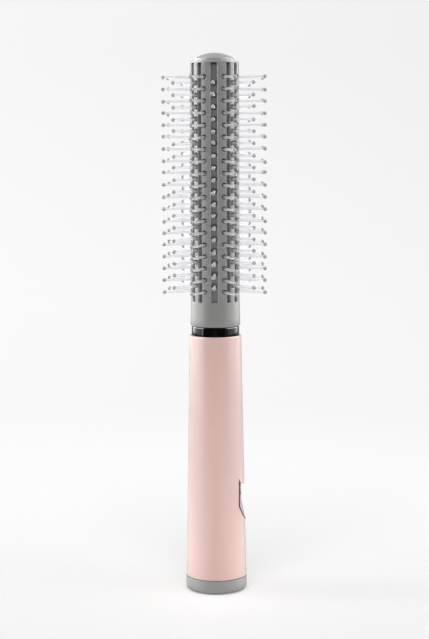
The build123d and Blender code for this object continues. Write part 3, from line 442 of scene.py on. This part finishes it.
ring_low, ring_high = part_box("trim_ring")
ring_foot, ring_top = ring_low[2], ring_high[2]
ring_radius = ring_high[0]
ring_bore = 8.9 * mm
ring_round = 1.0 * mm
side_reflection = 0.06  # of the shine of the upper edge
ring_outline = [
    (ring_bore, ring_foot),
    (ring_radius, ring_foot),
    *rounded_edge(ring_radius, ring_top, ring_round, 1, 9),
    (ring_bore, ring_top),
]
ring_mesh = turned_ring("gloss_ring", ring_outline, 160)
ring = in_scene("gloss_ring", ring_mesh)
ring_black = moulded_plastic("gloss_black", (0.004, 0.003, 0.003), 0.07, 1.0 * mm, 0.0005 * mm)
tree = ring_black.node_tree
place = tree.nodes["Texture Coordinate"].outputs["Object"]
height = add_node(tree, "ShaderNodeSeparateXYZ", {"Vector": place}).outputs["Z"]
# Painted highlight: the reflection is full on the upper rounded edge and weak on the sides.
highlight_from, highlight_to = ring_top - 0.75 * mm, ring_top - 0.4 * mm
painted_highlight = ramp(tree, height, highlight_from, highlight_to, side_reflection, 1.0, "LINEAR")
tree.links.new(painted_highlight, tree.nodes["Principled BSDF"].inputs["Specular IOR Level"])
ring_mesh.materials.append(ring_black)
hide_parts("trim_ring")
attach(ring, "handle")

# ------------------------------------------------------------------ neck
# The black nylon core below the ring, which joins handle and barrel.
neck_black = moulded_plastic("neck_plastic", (0.02, 0.02, 0.02), 0.5, 0.4 * mm, 0.01 * mm)
finish("neck", neck_black)

# ------------------------------------------------------------------ barrel
# The barrel is one moulding of grey heat-proof nylon. Long slots part its wall into ribs, and
# every rib has a row of round holes for the bristles. All outer edges are bevelled.
low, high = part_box("barrel")
barrel_foot, barrel_top = low[2], high[2]
foot_radius = 13.25 * mm
top_radius = 12.9 * mm
barrel_bore = 11.2 * mm
cap_bore = 7.0 * mm
end_round = 0.7 * mm
slot_foot = barrel_foot + 13.0 * mm
slot_top = barrel_top - 1.0 * mm
slot_bevel = 0.45 * mm
wide_half = 1.65 * mm
narrow_half = 0.9 * mm
scallop = 1.85 * mm
hole = 1.3 * mm
hole_bevel = 0.3 * mm
pitch = 6.2 * mm
long_row = 19
short_row = 18
long_rows = (24, 72, 116, 164)
first_pin = slot_foot + 5.6 * mm
cell_steps = np.array([0, 0.145, 0.271, 0.5, 0.729, 0.855]) * pitch / 2  # rows of half a cell
# Each rib of the +X half: the slot it starts at, fixed angles between, the slot it ends at, and
# the rows of holes in the spaces between those angles.
ribs = [
    (0, (), 36, (24,)),
    (36, (), 60, (48,)),
    (60, (80, 108), 128, (72, None, 116)),
    (128, (), 152, (140,)),
    (152, (), 180, (164,)),
]
# The stepped bore below the slots: radii, and heights above the barrel's foot, in millimetres.
ledge = [(11.2, 10.2), (8.9, 10.2), (8.9, 8.1), (11.2, 8.1), (11.2, 2.2), (8.9, 2.2), (8.9, 0)]


def barrel_radius(z):
    """The barrel's outer radius: even along the slots, and widening evenly below them."""
    share = np.clip((z - barrel_foot) / (slot_foot - barrel_foot), 0, 1)
    return foot_radius + share * (top_radius - foot_radius)


def turned(angle, radius, z):
    """Points at an angle in degrees from the front towards +X, a radius and a height."""
    turn, radius, z = np.broadcast_arrays(np.radians(angle), radius, z)
    return np.stack([radius * np.sin(turn), -radius * np.cos(turn), z], axis=-1)


class Shell:
    """Points and faces gathered for one mesh. Each block of points keeps its grid's shape."""

    def __init__(self):
        self.points = []
        self.count = 0
        self.faces = []

    def add(self, points):
        """Takes a grid of points and gives back their numbers in the same grid."""
        shape = points.shape[:-1]
        numbers = self.count + np.arange(np.prod(shape)).reshape(shape)
        self.points.append(points.reshape(-1, 3))
        self.count += numbers.size
        return numbers

    def span(self, lower, upper):
        """Quads between two lines of point numbers that run the same way."""
        quads = np.stack([lower[..., :-1], lower[..., 1:], upper[..., 1:], upper[..., :-1]], -1)
        self.faces.append(quads.reshape(-1, 4))

    def cells(self, grid):
        """Quads between the neighbouring lines of a grid of point numbers."""
        self.span(grid[..., :-1, :], grid[..., 1:, :])

    def mesh(self, name, crease):
        """The mesh, smooth but for edges that turn by more than crease degrees."""
        points = np.concatenate(self.points).astype(np.float32)
        faces = np.concatenate(self.faces).astype(np.int32)
        mesh = bpy.data.meshes.new(name)
        mesh.vertices.add(len(points))
        mesh.vertices.foreach_set("co", points.ravel())
        mesh.loops.add(faces.size)
        mesh.loops.foreach_set("vertex_index", faces.ravel())
        mesh.polygons.add(len(faces))
        mesh.polygons.foreach_set("loop_start", np.arange(0, faces.size, 4, dtype=np.int32))
        mesh.update(calc_edges=True)
        mesh.shade_smooth()
        mesh.set_sharp_from_angle(angle=math.radians(crease))
        return mesh


# Heights of the grid's rows: finer round each bristle's middle, and even between.
half_cells = first_pin - pitch / 2 + np.arange(2 * long_row)[:, None] * pitch / 2 + cell_steps
last_cell = first_pin + (long_row - 0.5) * pitch
rows = np.concatenate(
    [
        [slot_foot, (slot_foot + half_cells[0, 0]) / 2],
        half_cells.ravel(),
        [last_cell, (2 * last_cell + slot_top) / 3, (last_cell + 2 * slot_top) / 3, slot_top],
    ]
)
cell_rows = 2 * cell_steps.size
cell_columns = 8
first_row = 2  # the lowest cell's first row

# The wide slot at the front is scalloped round each of its bristles.
short_pins = first_pin + pitch / 2 + np.arange(short_row) * pitch
to_pin = np.abs(rows[:, None] - short_pins).min(axis=1)
scalloped = np.maximum(wide_half, np.sqrt(np.maximum(scallop**2 - to_pin**2, 0)))
outer = barrel_radius(rows)
shell = Shell()


def slot_edges(slot, side):
    """How far, in degrees, a slot's edge lies from its middle: at the skin, below the bevel and
    at the bore. A slot's walls are flat and parallel, so the angle is the arc sine of the half
    width over the radius."""
    half = scalloped if slot == 0 else np.full(rows.size, narrow_half)
    skin = np.degrees(np.arcsin((half + slot_bevel) / outer))
    below = np.degrees(np.arcsin(half / (outer - slot_bevel)))
    inside = np.degrees(np.arcsin(half / barrel_bore))
    return [slot + side * width for width in (skin, below, inside)]


def rib_columns(left, between, right):
    """The angles of a rib's columns on every row: even steps from edge to edge, by way of the
    fixed angles in between."""
    stops = [left] + [np.full(rows.size, float(angle)) for angle in between] + [right]
    shares = np.arange(cell_columns) / cell_columns
    lines = [a + (b - a) * share for a, b in zip(stops[:-1], stops[1:]) for share in shares]
    return np.stack(lines + [right], axis=-1)


def ring_of(outline):
    """The outline of a block of cells, taken anticlockwise as seen from outside."""
    low_side = outline[:, 0, :-1]
    right_side = outline[:, :-1, -1]
    high_side = outline[:, -1, :0:-1]
    left_side = outline[:, :0:-1, 0]
    return np.concatenate([low_side, right_side, high_side, left_side], axis=1)


def round_holes(panel, lining, angles, row_angle):
    """Faces of a panel of the skin and of its lining in the bore, with a row of bevelled holes
    at the row's angle: one hole to a block of cells, whose outline is joined to the hole's by
    rings of points along straight lines from the hole's middle."""
    is_long = abs(row_angle) in long_rows
    pins = long_row if is_long else short_row
    begin = first_row if is_long else first_row + cell_steps.size
    for plain in (slice(0, begin + 1), slice(begin + pins * cell_rows, None)):
        shell.cells(panel[plain])
        shell.cells(lining[plain, ::-1])
    block = begin + np.arange(pins)[:, None] * cell_rows + np.arange(cell_rows + 1)
    frame_angle = ring_of(angles[block])
    frame_z = ring_of(np.repeat(rows[block][..., None], cell_columns + 1, axis=-1))
    centre = (rows[block[:, 0]] + rows[block[:, -1]])[:, None] / 2
    across = np.radians(frame_angle - row_angle) * barrel_radius(centre)
    reach = np.hypot(across, frame_z - centre)
    u, v = across / reach, (frame_z - centre) / reach
    lip = np.minimum(hole + hole_bevel, 0.97 * reach)
    lip_z = centre + lip * v
    lip_angle = row_angle + np.degrees(np.arcsin(lip * u / barrel_radius(lip_z)))
    between_angle = 0.5 * (lip_angle + frame_angle)
    between_z = 0.5 * (lip_z + frame_z)
    neck_z = centre + hole * v
    neck_radius = barrel_radius(neck_z) - hole_bevel
    neck_angle = row_angle + np.degrees(np.arcsin(hole * u / neck_radius))
    foot_angle = row_angle + np.degrees(np.arcsin(hole * u / barrel_bore))
    loops = [
        ring_of(panel[block]),
        shell.add(turned(between_angle, barrel_radius(between_z), between_z)),
        shell.add(turned(lip_angle, barrel_radius(lip_z), lip_z)),
        shell.add(turned(neck_angle, neck_radius, neck_z)),
        shell.add(turned(foot_angle, barrel_bore, neck_z)),
        ring_of(lining[block]),
    ]
    closed = [np.concatenate([loop, loop[:, :1]], axis=1) for loop in loops]
    shell.cells(np.stack(closed, axis=1))


# The ribs, from the front to the back on the +X side and on the other side. Each is built with
# its columns running towards +X as seen from the front.
built = []
for side in (1, -1):
    for start, between, end, holes in ribs:
        left, right = slot_edges(side * start, side), slot_edges(side * end, -side)
        between = [side * angle for angle in between]
        if side < 0:
            left, right, between, holes = right, left, between[::-1], holes[::-1]
        skin_angles = rib_columns(left[0], between, right[0])
        bore_angles = rib_columns(left[2], between, right[2])
        skin = shell.add(turned(skin_angles, outer[:, None], rows[:, None]))
        inside = shell.add(turned(bore_angles, barrel_bore, rows[:, None]))
        left_under = shell.add(turned(left[1], outer - slot_bevel, rows))
        right_under = shell.add(turned(right[1], outer - slot_bevel, rows))
        shell.cells(np.stack([inside[:, 0], left_under, skin[:, 0]], axis=-1))
        shell.cells(np.stack([skin[:, -1], right_under, inside[:, -1]], axis=-1))
        for place, row_angle in enumerate(holes):
            columns = slice(place * cell_columns, (place + 1) * cell_columns + 1)
            panel, lining = skin[:, columns], inside[:, columns]
            if row_angle is None:
                shell.cells(panel)
                shell.cells(lining[:, ::-1])
            else:
                round_holes(panel, lining, skin_angles[:, columns], side * row_angle)
        built.append((skin_angles, bore_angles, skin, inside, left_under, right_under))

# The plain bands below and above the slots. Going round, every rib is followed by a slot, whose
# middle gets points of its own on the two rows that close it.
order = [0, 1, 2, 3, 4, 9, 8, 7, 6, 5]
slot_middles = [36, 60, 128, 152, 180, -152, -128, -60, -36, 0]
foot_band = [(barrel_radius(z), z) for z in (slot_foot - 4.4 * mm, slot_foot - 8.8 * mm)]
foot_band += rounded_edge(foot_radius, barrel_foot, end_round, -1, 5)
foot_lining = [(r * mm, barrel_foot + z * mm) for r, z in ledge[::-1]]
top_band = rounded_edge(top_radius, barrel_top, end_round, 1, 5)
top_lining = [(cap_bore, barrel_top), (cap_bore, slot_top)]
for row, band, lining_band in ((0, foot_band, foot_lining), (-1, top_band, top_lining)):
    skin_ring, bore_ring, skin_turn, bore_turn = [], [], [], []
    for at, (rib, middle) in enumerate(zip(order, slot_middles)):
        skin_angles, bore_angles, skin, inside, left_under, right_under = built[rib]
        following = built[order[(at + 1) % len(order)]]
        levels = [outer[row], outer[row] - slot_bevel, barrel_bore]
        middles = shell.add(turned(middle, np.array(levels), rows[row]))
        skin_ring += [skin[row], middles[:1]]
        bore_ring += [inside[row], middles[2:]]
        skin_turn += [skin_angles[row], [middle]]
        bore_turn += [bore_angles[row], [middle]]
        end = np.array(
            [
                [skin[row, -1], middles[0], following[2][row, 0]],
                [right_under[row], middles[1], following[4][row]],
                [inside[row, -1], middles[2], following[3][row, 0]],
            ]
        )
        shell.cells(end if row == 0 else end[::-1])
    around = (skin_ring, bore_ring, skin_turn, bore_turn)
    skin_ring, bore_ring, skin_turn, bore_turn = [
        np.concatenate([*pieces, pieces[0][:1]]) for pieces in around
    ]
    rings = [skin_ring]
    for turns, profile in ((skin_turn, band), (bore_turn, lining_band)):
        for radius, z in profile:
            numbers = shell.add(turned(turns[:-1], radius, z))
            rings.append(np.append(numbers, numbers[0]))
    rings = np.stack(rings + [bore_ring])
    shell.cells(rings[::-1] if row == 0 else rings)

barrel_mesh = shell.mesh("barrel_shell", 24)
barrel = in_scene("barrel_shell", barrel_mesh)
rib_grey = (0.270, 0.270, 0.260)
grey = moulded_plastic("grey_plastic", rib_grey, 0.44, 0.35 * mm, 0.006 * mm, 0.35)
barrel_mesh.materials.append(grey)
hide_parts("barrel")
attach(barrel, "handle")

# ------------------------------------------------------------------ top cap
# The domed cap that closes the barrel's end, moulded in a slightly paler and duller grey.
cap_grey = moulded_plastic("cap_grey", (0.32, 0.32, 0.31), 0.46, 0.35 * mm, 0.006 * mm)
finish("top_cap", cap_grey)

# ------------------------------------------------------------------ heat tube
# A dark, hard-anodised aluminium tube inside the barrel, seen through the slots and holes. Its
# coat is matt. The strips of heat-proof plastic that the bristles stand on lie within it.
tube_coat = moulded_plastic("tube_aluminium", (0.165, 0.165, 0.175), 0.5, 0.3 * mm, 0.004 * mm)
finish("heat_tube", tube_coat)
strip_plastic = moulded_plastic("strip_plastic", (0.06, 0.06, 0.062), 0.5, 0.3 * mm, 0.006 * mm)
finish("bristle_strips", strip_plastic)


# ------------------------------------------------------------------ bristles
# Every bristle is a thin pin of clear nylon with a ball at its end, which keeps it off the skin.
# They are moulded by the row and are never quite straight.
def clear_plastic(name, colour, milk, roughness, index):
    """Clear plastic, part of which is clouded: milk is the share that scatters light and index
    how strongly it bends it."""
    material, tree, skin, place = new_material(name)
    skin.inputs["IOR"].default_value = index
    skin.inputs["Specular IOR Level"].default_value = 0.3
    skin.inputs["Transmission Weight"].default_value = 1.0 - milk
    cloud = noise(tree, place, 400, 2)
    mottle(tree, skin, cloud, colour, (0.95, 1), (roughness * 0.6, roughness * 1.4))
    return material


pin_root = 10.13 * mm
tip_reach = 27.7 * mm
tip_radius = 1.05 * mm
root_radius = 0.72 * mm
end_radius = 0.62 * mm
flat_gap = 0.02 * mm
tip_flat = math.sqrt(tip_radius**2 - end_radius**2)  # from a ball's middle to the pin's end
side_sway = 0.10 * mm  # how far a ball stands beside its place, as a standard deviation
height_sway = 0.25 * mm  # and above or below it
long_heights = first_pin + np.arange(long_row) * pitch
row_angles = [-164, -140, -116, -72, -48, -24, 0, 24, 48, 72, 116, 140, 164]
row_heights = [long_heights if abs(angle) in long_rows else short_pins for angle in row_angles]
pin_angle = np.repeat(row_angles, [heights.size for heights in row_heights])[:, None, None]
pin_height = np.concatenate(row_heights)[:, None, None]
chance = np.random.default_rng(24)
sideways = chance.normal(0, side_sway, pin_height.shape)
upwards = chance.normal(0, height_sway, pin_height.shape)


def on_bristles(out, radius, sides):
    """Rings round every bristle's line, at distances out from the barrel's axis and with the
    given radii. The line leaves its place by its ball's offset times the square of the
    share of its reach."""
    turn = np.radians(pin_angle)
    round_line = np.linspace(0, 2 * math.pi, sides, endpoint=False)
    share = (out[:, None] - pin_root) / (tip_reach - pin_root)
    side = sideways * share**2 + radius[:, None] * np.cos(round_line)
    height = pin_height + upwards * share**2 + radius[:, None] * np.sin(round_line)
    out = np.broadcast_to(out[:, None], side.shape)
    x = out * np.sin(turn) + side * np.cos(turn)
    y = -out * np.cos(turn) + side * np.sin(turn)
    return np.stack([x, y, height], axis=-1)


def bristle_mesh(name, out, radius, sides, crease):
    """A mesh of rings from the first to the last. Each end is closed flat by a fan of quads,
    whose first two corners are both its middle."""
    gathered = Shell()
    rings = gathered.add(on_bristles(out, radius, sides))
    rings = np.concatenate([rings, rings[..., :1]], axis=-1)
    gathered.cells(rings)
    for end, turn in ((0, 1), (-1, -1)):
        rim = rings[:, end, ::turn]
        middle = gathered.add(on_bristles(out[[end]], np.zeros(1), 1)[:, 0])
        middle = np.repeat(middle, rim.shape[1], axis=1)
        gathered.span(middle, rim)
    return gathered.mesh(name, crease)


pin_shares = np.array([0, 0.35, 0.7, 1.0])
pin_out = pin_shares * (tip_reach - tip_flat - flat_gap - pin_root) + pin_root
pin_radius = root_radius + (end_radius - root_radius) * pin_shares
pin_mesh = bristle_mesh("bristle_pins_clear", pin_out, pin_radius, 10, 40)
pins = in_scene("bristle_pins_clear", pin_mesh)
pin_nylon = clear_plastic("pin_nylon", (0.93, 0.93, 0.96), 0.20, 0.36, 1.14)
pin_mesh.materials.append(pin_nylon)
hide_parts("bristle_pins")
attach(pins, "handle")

flat_turn = math.acos(tip_flat / tip_radius)
last_turn = math.pi - 0.35
ball_turn = np.linspace(flat_turn, last_turn, 6)
ball_out = tip_reach - tip_radius * np.cos(ball_turn)
ball_radius = tip_radius * np.sin(ball_turn)
ball_mesh = bristle_mesh("bristle_balls_clear", ball_out, ball_radius, 10, 50)
balls = in_scene("bristle_balls_clear", ball_mesh)
tip_resin = clear_plastic("tip_resin", (0.56, 0.56, 0.57), 0.66, 0.36, 1.2)
ball_mesh.materials.append(tip_resin)
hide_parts("bristle_tips")
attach(balls, "handle")

# So thin and clear, they throw next to no shadow and hardly show in the gloss of other pieces.
for clear in (pins, balls):
    clear.visible_shadow = False
    clear.visible_diffuse = False
    clear.visible_glossy = False

# ------------------------------------------------------------------ seals and stopper
# The base cap's O-ring, the soft plug that closes the tank and the gasket under the barrel, all
# pressed from silicone rubber, which leaves them matt.
seal_silicone = moulded_plastic("seal_silicone", (0.52, 0.52, 0.51), 0.55, 0.3 * mm, 0.01 * mm)
finish("cap_seal", seal_silicone)
stopper_silicone = moulded_plastic("stopper_silicone", (0.60, 0.60, 0.58), 0.6, 0.4 * mm, 0.01 * mm)
finish("tank_stopper", stopper_silicone)
gasket_silicone = moulded_plastic("gasket_silicone", (0.26, 0.035, 0.02), 0.5, 0.4 * mm, 0.01 * mm)
finish("steam_gasket", gasket_silicone)

# ------------------------------------------------------------------ water tank
# A tank blown from clear, slightly blue plastic, its welded lid with the filling mouth, and the
# ring that holds it in the shell. The light pipe in the controls is of the same plastic.
tank_plastic = clear_plastic("tank_plastic", (0.86, 0.92, 0.95), 0.30, 0.15, 1.5)
for node in ("water_tank", "tank_lid", "tank_retainer", "light_pipe"):
    finish(node, tank_plastic)


# ------------------------------------------------------------------ pump and hoses
# A small water pump: a black valve head on a motor in a steel can. Milky silicone hoses lead from
# the tank to the pump and up to the heater.
def bare_metal(name, colour, roughness, along):
    """Metal with fine marks that run along the brush: along is how much longer a mark is than
    it is wide."""
    material, tree, skin, place = new_material(name)
    skin.inputs["Metallic"].default_value = 1.0
    stretch = add_node(tree, "ShaderNodeMapping", {"Vector": place, "Scale": (1, 1, 1 / along)})
    marks = noise(tree, stretch.outputs["Vector"], 900, 4)
    mottle(tree, skin, marks, colour, (0.85, 1), (roughness - 0.08, roughness + 0.08))
    return material


pump_plastic = moulded_plastic("pump_plastic", (0.013, 0.013, 0.015), 0.5, 0.3 * mm, 0.01 * mm)
finish("pump_head", pump_plastic)
finish("pump_motor", bare_metal("motor_can", (0.55, 0.55, 0.55), 0.35, 1))
hose_silicone = clear_plastic("hose_silicone", (0.85, 0.85, 0.82), 0.75, 0.35, 1.41)
for node in ("dip_tube", "suction_hose", "delivery_hose"):
    finish(node, hose_silicone)

# ------------------------------------------------------------------ switches
# Two tactile switches stand on the board: black moulded housings with red stems.
switch_plastic = moulded_plastic("switch_plastic", (0.007, 0.007, 0.007), 0.5, 0.2 * mm, 0.004 * mm)
plunger_red = moulded_plastic("plunger_plastic", (0.17, 0.011, 0.007), 0.45, 0.2 * mm, 0.004 * mm)
for name in ("power", "steam"):
    finish(name + "_switch", switch_plastic)
    finish(name + "_plunger", plunger_red)


# ------------------------------------------------------------------ control board
# A green glass-fibre board with fine copper tracks under its lacquer, black chips, a lamp, a
# steel charging socket and two steel screws.
def lacquered_board(name, board, track, pitch):
    """Lacquer over straight tracks about as far apart as the pitch: upright bands are read at
    one point per square cell, so that they run and break as routed tracks do."""
    material, tree, skin, place = new_material(name)
    skin.inputs["Roughness"].default_value = 0.3
    squares = {"Vector": place, "Scale": 0.4 / pitch}
    cells = add_node(tree, "ShaderNodeTexVoronoi", squares, distance="CHEBYCHEV")
    bands = add_node(
        tree,
        "ShaderNodeTexWave",
        {"Vector": cells.outputs["Position"], "Scale": 0.3 / pitch},
        bands_direction="Z",
    )
    edge = ramp(tree, bands.outputs["Fac"], 0.55, 0.62, course="LINEAR")
    tracks = blend(tree, edge, (*board, 1), (*track, 1))
    tree.links.new(tracks, skin.inputs["Base Color"])
    return material


laminate = lacquered_board("board_laminate", (0.004, 0.05, 0.013), (0.02, 0.12, 0.03), 0.8 * mm)
finish("control_board", laminate)
chip_package = moulded_plastic("chip_package", (0.006, 0.006, 0.007), 0.55, 0.2 * mm, 0.006 * mm)
finish("board_chips", chip_package)
led_package = moulded_plastic("led_package", (0.75, 0.72, 0.55), 0.2, 0.3 * mm, 0.002 * mm)
finish("status_led", led_package)
finish("usb_socket", bare_metal("socket_steel", (0.60, 0.60, 0.60), 0.3, 6))
screw_steel = bare_metal("screw_steel", (0.45, 0.45, 0.45), 0.3, 1)
finish("board_screws", screw_steel)

# ------------------------------------------------------------------ battery
# One lithium cell in a shrunk blue sleeve, between two nickel contact plates.
cell_wrap = moulded_plastic("cell_wrap", (0.010, 0.10, 0.26), 0.25, 1.5 * mm, 0.02 * mm)
finish("battery_cell", cell_wrap)
finish("battery_tabs", bare_metal("nickel_tab", (0.55, 0.53, 0.48), 0.3, 8))

# ------------------------------------------------------------------ chassis
# The white nylon frame that carries board, pump and cell, with the steel screws that join it to
# the neck.
frame_nylon = moulded_plastic("frame_nylon", (0.70, 0.70, 0.66), 0.5, 0.4 * mm, 0.01 * mm)
finish("chassis", frame_nylon)
finish("neck_screws", screw_steel)

# ------------------------------------------------------------------ heater
# A finned aluminium core, extruded and cut to length, is warmed by dark ceramic stones between
# aluminium contact plates and amber film. Two plugs of heat-proof plastic and steel rods hold it.
finish("heater_core", bare_metal("core_aluminium", (0.75, 0.75, 0.75), 0.35, 12))
stone = moulded_plastic("stone_ceramic", (0.065, 0.06, 0.065), 0.8, 0.25 * mm, 0.03 * mm)
finish("ptc_stones", stone)
finish("heater_electrodes", bare_metal("electrode_aluminium", (0.80, 0.80, 0.80), 0.3, 8))
amber_film = moulded_plastic("polyimide_film", (0.35, 0.10, 0.008), 0.2, 2 * mm, 0.02 * mm)
finish("heater_film", amber_film)
plug_brown = (0.075, 0.065, 0.055)
ceramic_plastic = moulded_plastic("ceramic_plastic", plug_brown, 0.6, 0.4 * mm, 0.02 * mm)
finish("base_plug", ceramic_plastic)
finish("end_plug", ceramic_plastic)
finish("tie_rods", screw_steel)

# ------------------------------------------------------------------ sensor, cut-out and leads
# A bead of amber glass feels the heat, a cut-out in an aluminium can guards it, and two leads in
# red silicone bring the current.
sensor_glass = moulded_plastic("sensor_glass", (0.55, 0.17, 0.03), 0.1, 1 * mm, 0.005 * mm)
finish("temperature_sensor", sensor_glass)
finish("thermal_fuse", bare_metal("fuse_can", (0.72, 0.72, 0.70), 0.3, 1))
wire_silicone = moulded_plastic("wire_silicone", (0.26, 0.007, 0.005), 0.45, 0.4 * mm, 0.008 * mm)
finish("heater_wires", wire_silicone)

# ------------------------------------------------------------------ vaporiser
# The small turned brass block in which the water becomes steam.
finish("vaporiser", bare_metal("vaporiser_brass", (0.62, 0.42, 0.13), 0.3, 1))
